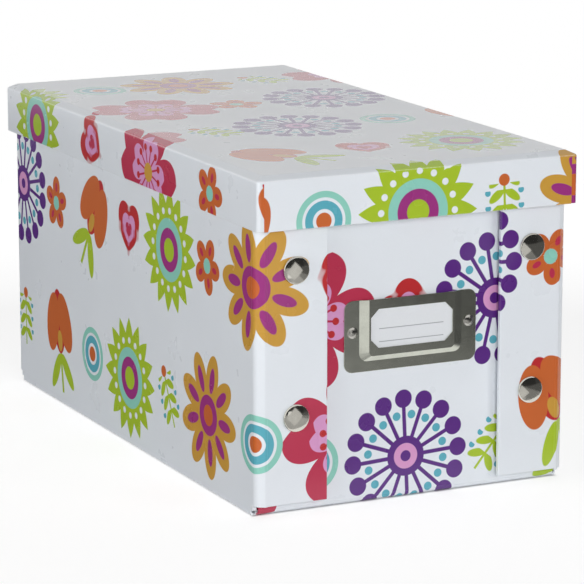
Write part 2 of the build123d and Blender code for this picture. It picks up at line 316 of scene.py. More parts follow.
def wear_and_highlight_group():
    """Worn flecks near the edges of a box, a mask that also places a painted highlight there, and how near the edge
    is.
    """
    tree, given, result = group(
        "Edge wear",
        [("Place", VECTOR), ("Middle", VECTOR), ("Half size", VECTOR), ("Reach", NUMBER), ("Amount", NUMBER)],
        [("Wear", NUMBER), ("Edge", NUMBER)],
    )
    place, middle, half, reach, amount = given.outputs[:5]
    away = vector_calc(tree, "SUBTRACT", place, middle).outputs[0]
    size = vector_calc(tree, "ABSOLUTE", away).outputs[0]
    x, y, z = parts(tree, vector_calc(tree, "SUBTRACT", size, half).outputs[0])
    second_nearest = x.below(y).above(x.above(y).below(z))
    edge = calc(tree, "SUBTRACT", 1.0, abs(second_nearest) / Wire(tree, reach), clamp=True)
    coarse = noise(tree, place, 900.0, 3.0, 0.6)
    fleck = calc(tree, "MULTIPLY", coarse - 0.55 + edge * 0.12, 14.0, clamp=True)
    feed(tree, result.inputs["Wear"], edge * (fleck * 0.6 + 0.4) * Wire(tree, amount))
    feed(tree, result.inputs["Edge"], edge)


def print_group(paper):
    """Cover paper printed with large and small motifs turn about, drawn in millimetres: blossoms, suns, seed heads,
    daisies and tulips, then rings, hearts, sprigs and florets."""
    tree, given, result = group(
        "Floral print",
        [("U", NUMBER), ("V", NUMBER)],
        [("Color", COLOUR), ("Ink", NUMBER)],
    )
    u, v = (Wire(tree, socket) for socket in given.outputs[:2])
    wide, high = paper.motif_pitch / MM, paper.row_pitch / MM

    def scatter(start, sway, kinds):
        """Place from the nearest motif's middle, and which kind of motif it is."""
        row = math.floor(v / high)
        shift = (row % 2.0) * 0.5 + start
        column = math.floor(u / wide + shift)
        chance = put(tree, "ShaderNodeTexWhiteNoise", noise_dimensions="3D")
        feed(tree, chance.inputs["Vector"], vector(tree, column, row, start))
        random_x, random_y, random_turn = parts(tree, chance.outputs["Color"])
        away_x = u - (column + 0.5 - shift) * wide - (random_x - 0.5) * sway
        away_y = v - (row + 0.5) * high - (random_y - 0.5) * sway
        turn = (random_turn - 0.5) * 1.5
        cosine, sine = turn.turn("COSINE"), turn.turn("SINE")
        x = away_x * cosine + away_y * sine
        y = away_y * cosine - away_x * sine
        kind = (column * 2.0 + row * 3.0) % float(kinds)
        return x, y, (x * x + y * y).turn("SQRT"), calc(tree, "ARCTAN2", y, x), kind

    def edge(inside):
        """A printed shape's mask from the distance inside its outline, in millimetres."""
        return calc(tree, "MULTIPLY_ADD", inside, 4.0, 0.5, clamp=True)

    def petal(angle, count, offset=0.0):
        """Angle from the nearest of some evenly spaced petals."""
        sector = 2 * math.pi / count
        return (angle + offset) % sector - sector / 2

    def polar(radius, lean):
        """Distance along a petal and across it."""
        return radius * lean.turn("COSINE"), radius * lean.turn("SINE")

    def dot(px, py, radius):
        """A round spot."""
        return edge(radius - (px * px + py * py).turn("SQRT"))

    def oval(px, py, half_x, half_y):
        """An oval spot."""
        return edge((1.0 - ((px / half_x) ** 2 + (py / half_y) ** 2)) * (min(half_x, half_y) / 2))

    def bar(px, py, start, end, half):
        """A straight line along a petal."""
        return edge((half - abs(py)).below(px - start).below(end - px))

    def spun(px, py, degrees):
        """Turn a place about the motif's middle."""
        c, s = math.cos(math.radians(degrees)), math.sin(math.radians(degrees))
        return px * c + py * s, py * c - px * s

    x, y, r, angle, large = scatter(0.0, 5.0, 5)

    share = abs(petal(angle, 4)) / (math.pi / 4)
    outline = 32.5 - (share ** 4.0) * 16.0 - (1.0 - share / 0.3).above(0.0) * 5.0
    px, py = polar(r, petal(angle, 12))
    blossom = [
        (edge(outline - r), paper.crimson),
        (edge(outline * 0.57 - r), paper.pink),
        (bar(px, py, 4.0, 11.0, 0.5), paper.crimson),
        (dot(px - 12.0, py, 1.7), paper.red),
        (edge(4.6 - r), paper.mustard),
    ]

    ray = petal(angle, 16)
    px, py = polar(r, ray)
    sun = [
        (edge(30.0 - abs(ray) / (math.pi / 16) * 8.0 - r), paper.lime),
        (dot(px - 18.6, py, 1.6), paper.ground),
        (edge(15.0 - r), paper.aqua),
        (edge(10.4 - r), paper.magenta),
        (edge(5.6 - r), paper.lime),
    ]

    px, py = polar(r, petal(angle, 16))
    qx, qy = polar(r, petal(angle, 16, math.pi / 16))
    seed_head = [
        (bar(px, py, 9.0, 25.0, 0.95), paper.purple),
        (dot(px - 27.0, py, 4.3), paper.purple),
        (dot(qx - 19.5, qy, 2.0), paper.teal),
        (edge(9.4 - r), paper.purple),
        (edge(6.0 - r), paper.pink),
        (edge(2.6 - r), paper.purple),
    ]

    px, py = polar(r, petal(angle, 9))
    daisy = [
        (oval(px - 18.5, py, 11.5, 6.4), paper.mustard),
        (oval(px - 17.5, py, 6.4, 2.6), paper.magenta),
        (edge(9.6 - r), paper.magenta),
        (edge(5.0 - r), paper.orange),
    ]

    up = y - 7.0
    left_x, left_y = spun(x + 8.0, up, -16.0)
    right_x, right_y = spun(x - 8.0, up, 16.0)
    leaf_x, leaf_y = spun(abs(x) - 7.5, y + 18.0, 38.0)
    tulip = [
        (edge((1.1 - abs(x)).below(-1.0 - y).below(y + 29.0)), paper.lime),
        (oval(leaf_x, leaf_y, 3.6, 11.0), paper.lime),
        (oval(x, up - 0.5, 7.5, 16.5), paper.red),
        (oval(left_x, left_y, 8.0, 15.5).above(oval(right_x, right_y, 8.0, 15.5)), paper.orange),
        (oval(x, up + 9.5, 3.0, 5.4), paper.mustard),
    ]
    shown = opaque(paper.ground)
    ink = calc(tree, "ADD", 0.0, 0.0)
    layers = [(large, index, motif) for index, motif in enumerate((blossom, sun, seed_head, daisy, tulip))]

    x, y, r, angle, small = scatter(0.5, 4.0, 4)

    rings = [
        (edge(13.5 - r), paper.aqua),
        (edge(10.6 - r), paper.ground),
        (edge(9.2 - r), paper.teal),
        (edge(5.4 - r), paper.ground),
        (edge(3.8 - r), paper.orange),
    ]

    def heart(scale):
        """A heart's mask."""
        hx, hy = x / scale, (y + 1.5) / scale
        bulge = hx * hx + hy * hy - 1.0
        return edge((hx * hx * (hy ** 3.0) - bulge ** 3.0) * (scale * 0.5))

    hearts = [(heart(11.0), paper.red), (heart(6.6), paper.pink), (heart(3.2), paper.crimson)]

    step = (y + 13.0) % 7.0 - 3.5
    frond_x, frond_y = spun(abs(x) - 4.0, step - 1.0, 52.0)
    within = edge((y + 13.0).below(11.0 - y))
    sprig = [
        (edge((0.6 - abs(x)).below(y + 15.0).below(12.0 - y)), paper.lime),
        (oval(frond_x, frond_y, 2.0, 4.8) * within, paper.lime),
        (dot(abs(x) - 8.6, step - 2.6, 1.5) * within, paper.teal),
        (dot(x, y - 12.5, 2.8), paper.orange),
    ]

    px, py = polar(r, petal(angle, 5))
    floret = [
        (oval(px - 8.0, py, 5.6, 4.6), paper.orange),
        (oval(px - 8.0, py, 2.4, 1.4), paper.crimson),
        (edge(3.6 - r), paper.aqua),
    ]
    layers += [(small, index, motif) for index, motif in enumerate((rings, hearts, sprig, floret))]

    for kind, index, motif in layers:
        here = calc(tree, "COMPARE", kind, float(index), 0.4)
        for mask, ink_colour in motif:
            printed = mask * here
            shown = mix(tree, printed, shown, opaque(ink_colour))
            ink = ink.above(printed)
    feed(tree, result.inputs["Color"], shown)
    feed(tree, result.inputs["Ink"], ink)


# Near-white at the edges: partly ink worn to white at the creases, partly a painted highlight along the creases and
# corners.
WORN_AND_HIGHLIGHT_EDGE = (0.97, 0.97, 0.98)


def paper_group():
    """Finish of the printed cover paper: colour, roughness and relief."""
    tree, given, result = group(
        "Printed paper",
        [("Place", VECTOR), ("Across", VECTOR), ("Up", VECTOR), ("Start", VECTOR), ("Wear", NUMBER), ("Edge", NUMBER)],
        [("Color", COLOUR), ("Roughness", NUMBER), ("Height", NUMBER)],
    )
    place, across, up, start, wear, near = given.outputs[:6]
    start_u, start_v, _ = parts(tree, start)
    u = along(tree, place, across) * 1000.0 + start_u
    v = along(tree, place, up) * 1000.0 + start_v
    floral = place_group(tree, "Floral print", u=u, v=v)
    linen = place_group(tree, "Linen emboss", u=u, v=v)
    tint = noise(tree, place, 26.0, 2.0) * 0.05 + 0.955
    fibre = noise(tree, place, 1500.0, 1.0) * 0.03 + 0.985
    tone = tint * fibre
    toned = tinted(tree, floral.outputs["Color"], tone, tone, tone)
    # Whiten the print near the edges: worn ink and a painted highlight together.
    feed(tree, result.inputs["Color"], mix(tree, wear, toned, opaque(WORN_AND_HIGHLIGHT_EDGE)))
    smear = noise(tree, place, 60.0, 3.0) * 0.10
    rough = smear + 0.24 + Wire(tree, near) * 0.06 + Wire(tree, wear) * 0.4 - Wire(tree, floral.outputs["Ink"]) * 0.03
    feed(tree, result.inputs["Roughness"], rough)
    ripple = noise(tree, place, 34.0, 1.0)
    crumple = noise(tree, place, 500.0, 2.0) * Wire(tree, near)
    feed(tree, result.inputs["Height"], Wire(tree, linen.outputs["Height"]) * 0.10 + ripple * 0.35 + crumple * 0.3)


def metal_group():
    """Finish of the metal pieces: tarnish, fine scratches and rubbed patches."""
    tree, given, result = group(
        "Rubbed metal",
        [("Place", VECTOR), ("Metal", COLOUR), ("Grain", VECTOR), ("Dull", NUMBER)],
        [("Color", COLOUR), ("Roughness", NUMBER), ("Height", NUMBER)],
    )
    place, metal, grain, dull = given.outputs[:4]
    stretched = vector_calc(tree, "MULTIPLY", place, grain).outputs[0]
    scratch = noise(tree, stretched, 1.0, 3.0, 0.65)
    patch = noise(tree, place, 150.0, 3.0)
    tone = patch * 0.3 + scratch * 0.16 + 0.77
    feed(tree, result.inputs["Color"], tinted(tree, metal, tone, tone, tone * 0.99))
    feed(tree, result.inputs["Roughness"], Wire(tree, dull) + patch * 0.08 + scratch * 0.07 - 0.05)
    feed(tree, result.inputs["Height"], scratch)


def new_material(name):
    """An empty material with its output, shader and object coordinates."""
    material = bpy.data.materials.new(name)
    material.use_nodes = True
    tree = material.node_tree
    tree.nodes.clear()
    output = put(tree, "ShaderNodeOutputMaterial")
    shader = put(tree, "ShaderNodeBsdfPrincipled")
    tree.links.new(shader.outputs[0], output.inputs[0])
    place = put(tree, "ShaderNodeTexCoord").outputs["Object"]
    return material, tree, shader, place


def relief(tree, shader, height, strength, distance):
    """Join a height to a shader through a bump."""
    bump = put(tree, "ShaderNodeBump")
    bump.inputs["Strength"].default_value = strength
    bump.inputs["Distance"].default_value = distance
    feed(tree, bump.inputs["Height"], height)
    tree.links.new(bump.outputs[0], shader.inputs["Normal"])


def printed_paper(name, point, at, across, up, low, high, reach=0.45, amount=0.0):
    """Printed paper laid so that a point, in millimetres, falls at a place of the print, worn and whitened by a
    painted highlight at a box's edges.
    """
    start = [at[i] - Vector(direction).dot(Vector(point)) for i, direction in enumerate((across, up))]
    material, tree, shader, place = new_material(name)
    middle = (Vector(low) + Vector(high)) / 2
    half = (Vector(high) - Vector(low)) / 2
    # Mask near the box's edges for worn ink and the painted highlight.
    wear = place_group(tree, "Edge wear", place=place, middle=middle, half_size=half, reach=reach * MM, amount=amount)
    finish = place_group(tree, "Printed paper", place=place, across=across, up=up, start=(*start, 0.0),
                         wear=wear.outputs["Wear"], edge=wear.outputs["Edge"])
    tree.links.new(finish.outputs["Color"], shader.inputs["Base Color"])
    tree.links.new(finish.outputs["Roughness"], shader.inputs["Roughness"])
    shader.inputs["IOR"].default_value = 1.5
    shader.inputs["Coat Weight"].default_value = 0.3
    shader.inputs["Coat Roughness"].default_value = 0.2
    relief(tree, shader, finish.outputs["Height"], 0.5, 0.0003)
    return material


RULE_HALF, RULE_REACH, RULE_EDGE, RULE_INK = 0.22 * MM, 16.5 * MM, 9000.0, (0.16, 0.17, 0.2)


def lining_paper(name, rgb, rules=()):
    """Plain uncoated paper with fibres, and thin ruled lines at some heights."""
    material, tree, shader, place = new_material(name)
    cloud = noise(tree, place, 40.0, 3.0) * 0.06
    fibre = noise(tree, place, 900.0, 3.0, 0.7) * 0.06
    tone = cloud + fibre + 0.93
    shown = tinted(tree, opaque(rgb), tone, tone, tone)
    x, _, z = parts(tree, place)
    for height in rules:
        line = calc(tree, "MULTIPLY", RULE_HALF - abs(z - height), RULE_EDGE, clamp=True)
        line = line * calc(tree, "MULTIPLY", RULE_REACH - abs(x), RULE_EDGE, clamp=True)
        shown = mix(tree, line * 0.8, shown, opaque(RULE_INK))
    tree.links.new(shown, shader.inputs["Base Color"])
    feed(tree, shader.inputs["Roughness"], fibre + 0.55)
    relief(tree, shader, fibre, 0.4, 0.0002)
    return material


def metal(name, rgb, dull, grain, bump):
    """Plated or bare metal."""
    material, tree, shader, place = new_material(name)
    finish = place_group(tree, "Rubbed metal", place=place, metal=opaque(rgb), grain=grain, dull=dull)
    shader.inputs["Metallic"].default_value = 1.0
    tree.links.new(finish.outputs["Color"], shader.inputs["Base Color"])
    tree.links.new(finish.outputs["Roughness"], shader.inputs["Roughness"])
    relief(tree, shader, finish.outputs["Height"], bump, 0.00002)
    return material


# Pieces


def dress(node, material):
    """Give a CAD node its material."""
    mesh = NODES[node].data
    mesh.materials.clear()
    mesh.materials.append(material)


def face_outwards(mesh, weld=0.0):
    """Turn a mesh's faces outwards, after its seams are closed where a distance is given."""
    work = bmesh.new()
    work.from_mesh(mesh)
    if weld:
        bmesh.ops.remove_doubles(work, verts=work.verts, dist=weld)
    bmesh.ops.recalc_face_normals(work, faces=work.faces)
    work.to_mesh(mesh)
    work.free()


def finish_mesh(mesh, degrees=35.0):
    """Close a mesh's seams, turn its faces outwards and shade it smooth between its sharp edges."""
    if "custom_normal" in mesh.attributes:
        mesh.attributes.remove(mesh.attributes["custom_normal"])
    face_outwards(mesh, weld=1e-7)
    mesh.shade_smooth()
    mesh.set_sharp_from_angle(angle=math.radians(degrees))


def add_piece(name, mesh, materials, body, nodes=()):
    """Put a finished mesh in the scene as a piece of the box."""
    mesh.name = name
    mesh.materials.clear()
    for material in materials:
        mesh.materials.append(material)
    piece = bpy.data.objects.new(name, mesh)
    bpy.context.scene.collection.objects.link(piece)
    if nodes:
        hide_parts(*nodes)
    if body:
        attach(piece, body)
    return piece


def tube(rings, count):
    """Faces between rings that each have the same count of corners."""
    faces = []
    for here in range(0, (rings - 1) * count, count):
        for j in range(count):
            k = (j + 1) % count
            faces.append((here + j, here + k, here + count + k, here + count + j))
    return faces


def sweep(path, section):
    """A closed outline, as distances out and up, carried along a path of places and outward directions."""
    mesh = bpy.data.meshes.new("swept")
    count = len(section)
    corners = [(x + out * nx, y + out * ny, z) for x, y, nx, ny in path for out, z in section]
    faces = tube(len(path), count)
    faces.append(tuple(range(count)))
    faces.append(tuple((len(path) - 1) * count + j for j in range(count)))
    mesh.from_pydata(corners, [], faces)
    finish_mesh(mesh)
    return mesh


def spread(start, end, steps):
    """Evenly spaced numbers from one to another, with both."""
    return [start + (end - start) * i / steps for i in range(steps + 1)]


def arc(centre, radius, start, end, steps):
    """Points on an arc, in degrees."""
    turns = [math.radians(a) for a in spread(start, end, steps)]
    return [(centre[0] + radius * math.cos(a), centre[1] + radius * math.sin(a)) for a in turns]


def dome(ball, turn, top, steps):
    """Profile of a domed head of some ball radius, from its middle to just short of its rim."""
    turns = [math.radians(turn * i / steps) for i in range(steps)]
    return [(ball * math.sin(a), top - ball * (1 - math.cos(a))) for a in turns]


# Cover paper


def node_box(*names):
    """Lowest and highest corners round some nodes."""
    boxes = [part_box(name) for name in names]
    low = [min(box[0][i] for box in boxes) for i in range(3)]
    high = [max(box[1][i] for box in boxes) for i in range(3)]
    return low, high


class COVER_OT_tray(bpy.types.Operator):
    """Cover the tray's boards, flaps and folds with printed paper, continuous from board to board"""

    bl_idname = "storage_box.cover_tray"
    bl_label = "Cover tray"

    def execute(self, context):
        for side, way in SIDES.items():
            low, high = node_box(f"{side}_side_board")
            front, back = low[1] / MM, high[1] / MM
            face = (low if way < 0 else high)[0] / MM
            foot = low[2] / MM
            forward = (0, way, 0)
            begin = SIDE_START[side]
            dress(f"{side}_side_board", printed_paper(
                f"{side} side paper", (face, front, 0), (begin, 0), forward, (0, 0, 1), low, high))
            slope = Vector((way * -1, 0, -1)).normalized()
            low, high = node_box(f"{side}_base_fold")
            self.foot_fold(side, way, low, high, printed_paper(
                f"{side} base fold paper", (face, front, foot), (begin, foot), forward, -slope, low, high))
            for end, direction in ENDS.items():
                corner = f"{end}_{side}"
                low, high = node_box(f"{corner}_flap_fold")
                edge = front if direction < 0 else back
                at = begin if direction < 0 else begin + way * (back - front)
                width, depth = (high[0] - low[0]) / MM, (high[1] - low[1]) / MM
                bevel = Vector((-way * width, direction * depth, 0)).normalized() * (direction * way)
                run = direction * way * math.hypot(width, depth)
                dress(f"{corner}_flap_fold", printed_paper(
                    f"{corner} fold paper", (face, edge, 0), (at, 0), bevel, (0, 0, 1), low, high))
                inner = face - way * width
                low, high = node_box(f"{corner}_flap")
                dress(f"{corner}_flap", printed_paper(
                    f"{corner} flap paper", (inner, 0, 0), (at + run, 0), (-direction, 0, 0), (0, 0, 1), low, high))
        low, high = node_box("base_board")
        dress("base_board", printed_paper(
            "base paper", (low[0] / MM, low[1] / MM, 0), (0, -1.1), (0, -1, 0), (-1, 0, 0), low, high))
        for end, direction in ENDS.items():
            low, high = node_box(f"{end}_end_board")
            dress(f"{end}_end_board", printed_paper(
                f"{end} end paper", (0, 0, 0), (END_START[end], END_SHIFT), (-direction, 0, 0), (0, 0, 1), low, high))
        return {"FINISHED"}

    def foot_fold(self, side, way, low, high, material):
        """The paper's crease along the foot of a long side."""
        bend, thick = FOOT_BEND, HINGE_PAPER
        deep, top = high[0] - low[0], high[2] - low[2]
        face = (low if way < 0 else high)[0]
        path = [(face, y, way, 0) for y in (low[1], high[1])]
        section = [(0, top)] + arc((-bend, bend), bend, 0, -90, 8)
        section += [(-deep, 0), (-deep, thick), (-thick - bend, thick), (-thick, thick + bend), (-thick, top)]
        section = [(out, low[2] + z) for out, z in section]
        add_piece(f"{side}_foot_fold", sweep(path, section), [material], "tray", [f"{side}_base_fold"])


class COVER_OT_hinges(bpy.types.Operator):
    """Make the creased paper hinges at the foot of each end"""

    bl_idname = "storage_box.fold_hinges"
    bl_label = "Fold hinges"

    steps, spans = 24, 30  # facets round the fold and along it
    creases, soft, groove = (0.30, 0.80), 0.07, 0.16 * MM  # where it is creased, how softly and how deep

    def execute(self, context):
        for end, way in ENDS.items():
            name = f"{end}_base_fold"
            low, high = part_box(name)
            radius = high[2] - low[2]
            pivot = (low[1] if way > 0 else high[1], high[2])
            outer, inner = [], []
            for share in spread(0, 1, self.steps):
                groove = sum(self.groove * math.exp(-((share - at) / self.soft) ** 2) for at in self.creases)
                turn = math.radians(90 * share)
                for line, reach in ((outer, radius - groove), (inner, radius - HINGE_PAPER)):
                    line.append((pivot[0] + way * reach * math.sin(turn), pivot[1] - reach * math.cos(turn)))
            profile = outer + inner[::-1]
            mesh = bpy.data.meshes.new(name)
            count = len(profile)
            corners = [(x, y, z) for x in spread(low[0], high[0], self.spans) for y, z in profile]
            faces = tube(self.spans + 1, count)
            for k in (0, self.spans * count):
                for j in range(self.steps):
                    faces.append((k + j, k + j + 1, k + count - 2 - j, k + count - 1 - j))
            mesh.from_pydata(corners, [], faces)
            finish_mesh(mesh, 50.0)
            slope = Vector((0, -way, -1)).normalized()
            foot = high[2] / MM
            outside = (high if way > 0 else low)[1]
            material = printed_paper(f"{end} hinge paper", (0, outside / MM, foot), (END_START[end], END_SHIFT + foot),
                                     (-way, 0, 0), -slope, low, high)
            piece = add_piece(f"{end}_paper_hinge", mesh, [material], None, [name])
            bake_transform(piece)
        return {"FINISHED"}


class COVER_OT_linings(bpy.types.Operator):
    """Line the inside of the tray and lid with plain paper"""

    bl_idname = "storage_box.linings"
    bl_label = "Linings"

    def execute(self, context):
        paper = context.scene.box_paper
        white = lining_paper("Lining paper", paper.lining)
        for node in NODES:
            if node.endswith("_lining"):
                dress(node, white)
        return {"FINISHED"}


class COVER_OT_lid(bpy.types.Operator):
    """Cover the lid's top, bevelled folds and skirts with one sheet, lapped round the upright corners"""

    bl_idname = "storage_box.cover_lid"
    bl_label = "Cover lid"

    def execute(self, context):
        paper = context.scene.box_paper
        top_low, top_high = node_box("lid_top_board")
        low, high = node_box("lid_left_skirt", "lid_right_skirt", "lid_front_skirt", "lid_back_skirt")
        # Box whose edges get worn ink and a painted highlight on the lid's folds, skirts and laps.
        wear_and_highlight_low, wear_and_highlight_high = low, (high[0], high[1], top_high[2] - BEVEL_DROP)
        drop = math.hypot(high[0] - top_high[0], BEVEL_DROP) + top_high[2] - BEVEL_DROP - high[2]
        sheet_edge = (top_high[0] + drop) / MM
        dress("lid_top_board", printed_paper(
            "lid top paper", (0, 0, 0), (LID_START, LID_SHIFT), (1, 0, 0), (0, 1, 0), top_low, top_high))
        ways = {"front": (0, -1), "back": (0, 1), "left": (-1, 0), "right": (1, 0)}
        for edge, (out_x, out_y) in ways.items():
            out = Vector((out_x, out_y, 0))
            rim = Vector((top_high[0], top_high[1], 0)) / MM
            brink = Vector((out_x * rim.x, out_y * rim.y, top_high[2] / MM))
            wide = abs((high[0] - top_high[0]) / MM if out_x else (high[1] - top_high[1]) / MM)
            fall = Vector((0, 0, BEVEL_DROP / MM))
            slope = (out * wide - fall).normalized()
            run = math.hypot(wide, fall.z)
            base = (LID_START + brink.x, LID_SHIFT + brink.y)

            def lay(direction):
                """The print's two directions on a face that drops away over this edge."""
                if out_x:
                    return direction * out_x, (0, 1, 0)
                return (1, 0, 0), direction * out_y

            across, up = lay(slope)
            dress(f"lid_{edge}_fold", printed_paper(
                f"lid {edge} fold paper", brink, base, across, up, wear_and_highlight_low, wear_and_highlight_high, amount=0.7))
            across, up = lay(Vector((0, 0, -1)))
            foot = brink + out * wide - fall
            at = (base[0] + out_x * run, base[1] + out_y * run)
            skirt = printed_paper(f"lid {edge} skirt paper", foot, at, across, up, wear_and_highlight_low, wear_and_highlight_high, amount=0.7)
            if out_x:
                self.side_skirt(edge, out_x, skirt, low, high)
            else:
                laps = []
                for side, left in SIDES.items():
                    point = (left * high[0] / MM, out_y * high[1] / MM, high[2] / MM)
                    at = (LID_START + left * sheet_edge, LID_SHIFT + out_y * high[1] / MM)
                    rubbed = {"reach": 2.2, "amount": 0.9} if out_y < 0 < left else {"amount": 0.7}
                    laps.append(printed_paper(f"lid {edge} {side} lap paper", point, at, (0, 0, -left),
                                              (-left * out_y, 0, 0), wear_and_highlight_low, wear_and_highlight_high, **rubbed))
                self.end_skirt(edge, out_y, skirt, laps, paper, low, high)
        return {"FINISHED"}

    def foot(self, bottom, bend, angles):
        """Rounded foot of a skirt, as distances out and up."""
        turns = (math.radians(a) for a in angles)
        return [(-SKIRT_BEND + bend * math.sin(a), bottom + SKIRT_BEND - bend * math.cos(a)) for a in turns]

    def corner(self, left, way, high, angles, sink=0.0):
        """Places and outward directions round one upright corner, sinking a little towards the last."""
        middle = (left * (high[0] - SKIRT_CORNER), way * (high[1] - SKIRT_CORNER))
        spots = []
        for i, angle in enumerate(angles):
            turn = math.radians(angle)
            normal = (left * math.cos(turn), way * math.sin(turn))
            reach = SKIRT_CORNER - sink * i / (len(angles) - 1)
            spots.append((middle[0] + normal[0] * reach, middle[1] + normal[1] * reach, *normal))
        return spots

    def side_skirt(self, edge, left, skirt, low, high):
        """A long skirt with its foot rounded under its paper."""
        bottom, top = low[2], high[2]
        angles = spread(45, 0, 8)
        path = self.corner(left, 1, high, angles) + self.corner(left, -1, high, angles)[::-1]
        section = self.foot(bottom, SKIRT_BEND, SKIRT_FOOT)
        section += [(0, top), (-SKIRT_BOARD, top), (-SKIRT_BOARD, bottom)]
        add_piece(f"lid_{edge}_skirt_board", sweep(path, section), [skirt], "lid",
                  [f"lid_{edge}_skirt"])

    def end_skirt(self, edge, way, skirt, laps, paper, low, high):
        """A short skirt with its own sheet between the two side papers that lap round its corners."""
        bottom, top = low[2], high[2]
        thin = paper.sheet
        angles = spread(45, 90, 8)
        path = self.corner(-1, way, high, angles, thin) + self.corner(1, way, high, angles, thin)[::-1]
        section = self.foot(bottom + thin, SKIRT_BEND, SKIRT_FOOT)
        section += [(0, top), (-SKIRT_BOARD + thin, top), (-SKIRT_BOARD + thin, bottom + thin)]
        body = sweep(path, section)
        for face in body.polygons:
            face.material_index = 0 if face.center.x < 0 else 1
        add_piece(f"lid_{edge}_skirt_board", body, laps, "lid", [f"lid_{edge}_skirt"])
        reach = high[0] - paper.lap
        span = [(x, way * high[1], 0, way) for x in spread(-reach, reach, 40)]
        sheet = self.foot(bottom, SKIRT_BEND, SKIRT_FOOT) + [(0, top), (-thin, top)]
        sheet += self.foot(bottom, SKIRT_BEND - thin, reversed(SKIRT_FOOT))
        add_piece(f"lid_{edge}_skirt_paper", sweep(span, sheet), [skirt], "lid")


# Metal


def turned_tree():
    """Geometry nodes that turn a profile about an axis and set the result at evenly spaced places."""
    tree = bpy.data.node_groups.new("Turned pieces", "GeometryNodeTree")
    for label, kind, default in (
        ("Profile", "NodeSocketGeometry", None),
        ("Segments", "NodeSocketInt", 48),
        ("First place", "NodeSocketVector", (0, 0, 0)),
        ("Turn", "NodeSocketVector", (0, 0, 0)),
        ("Columns", "NodeSocketInt", 1),
        ("Column pitch", "NodeSocketFloat", 0.0),
        ("Rows", "NodeSocketInt", 1),
        ("Row pitch", "NodeSocketFloat", 0.0),
        ("Sharp angle", "NodeSocketFloat", 0.6),
        ("Metal", "NodeSocketMaterial", None),
    ):
        socket = tree.interface.new_socket(name=label, in_out="INPUT", socket_type=kind)
        if default is not None:
            socket.default_value = default
    tree.interface.new_socket(name="Pieces", in_out="OUTPUT", socket_type="NodeSocketGeometry")
    given = put(tree, "NodeGroupInput").outputs
    result = put(tree, "NodeGroupOutput")

    def link(node, label, value):
        feed(tree, node.inputs[label], value)

    outline = put(tree, "GeometryNodeMeshToCurve")
    link(outline, "Mesh", given["Profile"])
    axis = put(tree, "GeometryNodeCurvePrimitiveCircle")
    link(axis, "Resolution", given["Segments"])
    link(axis, "Radius", 1e-7)
    upright = put(tree, "GeometryNodeSetCurveNormal", mode="Z_UP")
    link(upright, "Curve", axis.outputs["Curve"])
    spun = put(tree, "GeometryNodeCurveToMesh")
    link(spun, "Curve", upright.outputs["Curve"])
    link(spun, "Profile Curve", outline.outputs["Curve"])
    closed = put(tree, "GeometryNodeMergeByDistance")
    link(closed, "Geometry", spun.outputs["Mesh"])
    link(closed, "Distance", 2e-6)
    angle = put(tree, "GeometryNodeInputMeshEdgeAngle")
    sharp = put(tree, "FunctionNodeCompare", data_type="FLOAT", operation="GREATER_THAN")
    link(sharp, "A", angle.outputs["Unsigned Angle"])
    link(sharp, "B", given["Sharp angle"])
    smooth = put(tree, "GeometryNodeSetShadeSmooth", domain="EDGE")
    link(smooth, "Geometry", closed.outputs["Geometry"])
    link(smooth, "Selection", sharp.outputs["Result"])
    link(smooth, "Shade Smooth", False)
    faced = put(tree, "GeometryNodeTransform")
    link(faced, "Geometry", smooth.outputs["Geometry"])
    link(faced, "Rotation", given["Turn"])
    lines = []
    for count, pitch, direction in (("Columns", "Column pitch", (1, 0, 0)), ("Rows", "Row pitch", (0, 0, 1))):
        step = put(tree, "ShaderNodeVectorMath", operation="SCALE")
        step.inputs[0].default_value = direction
        link(step, "Scale", given[pitch])
        line = put(tree, "GeometryNodeMeshLine", mode="OFFSET")
        link(line, "Count", given[count])
        link(line, "Offset", step.outputs[0])
        lines.append(line)
    link(lines[0], "Start Location", given["First place"])
    grid = put(tree, "GeometryNodeInstanceOnPoints")
    link(grid, "Points", lines[0].outputs["Mesh"])
    link(grid, "Instance", lines[1].outputs["Mesh"])
    places = put(tree, "GeometryNodeRealizeInstances")
    link(places, "Geometry", grid.outputs["Instances"])
    copies = put(tree, "GeometryNodeInstanceOnPoints")
    link(copies, "Points", places.outputs["Geometry"])
    link(copies, "Instance", faced.outputs["Geometry"])
    real = put(tree, "GeometryNodeRealizeInstances")
    link(real, "Geometry", copies.outputs["Instances"])
    plated = put(tree, "GeometryNodeSetMaterial")
    link(plated, "Geometry", real.outputs["Geometry"])
    link(plated, "Material", given["Metal"])
    link(result, "Pieces", plated.outputs["Geometry"])


def turned_pieces(name, profile, first, way, columns, rows, material, body, node):
    """Turned metal pieces from a profile of radii and heights, with their axis across the end of the box.

    Columns and rows are each a count and a pitch.
    """
    tree = bpy.data.node_groups["Turned pieces"]
    sockets = {item.name: item.identifier for item in tree.interface.items_tree if item.in_out == "INPUT"}
    mesh = bpy.data.meshes.new(name + "_profile")
    mesh.from_pydata([(r * MM, h * MM, 0) for r, h in profile], [(i, i + 1) for i in range(len(profile) - 1)], [])
    maker = bpy.data.objects.new(name + "_profile", mesh)
    bpy.context.scene.collection.objects.link(maker)
    modifier = maker.modifiers.new("Turned pieces", "NODES")
    modifier.node_group = tree
    values = {
        "Segments": bpy.context.scene.box_metal.segments,
        "First place": first,
        "Turn": (way * math.pi / 2, 0.0, 0.0),
        "Columns": columns[0],
        "Column pitch": columns[1],
        "Rows": rows[0],
        "Row pitch": rows[1],
        "Sharp angle": math.radians(40),
        "Metal": material,
    }
    for label, value in values.items():
        modifier[sockets[label]] = value
    made = bpy.data.meshes.new_from_object(maker.evaluated_get(bpy.context.evaluated_depsgraph_get()))
    maker.modifiers.remove(modifier)
    bpy.data.objects.remove(maker)
    if len(made.polygons) == 0:
        raise RuntimeError(f"{name} came out empty")
    face_outwards(made)
    add_piece(name, made, [material], body, [node])


ONE = (1, 0.0)  # a single column or row


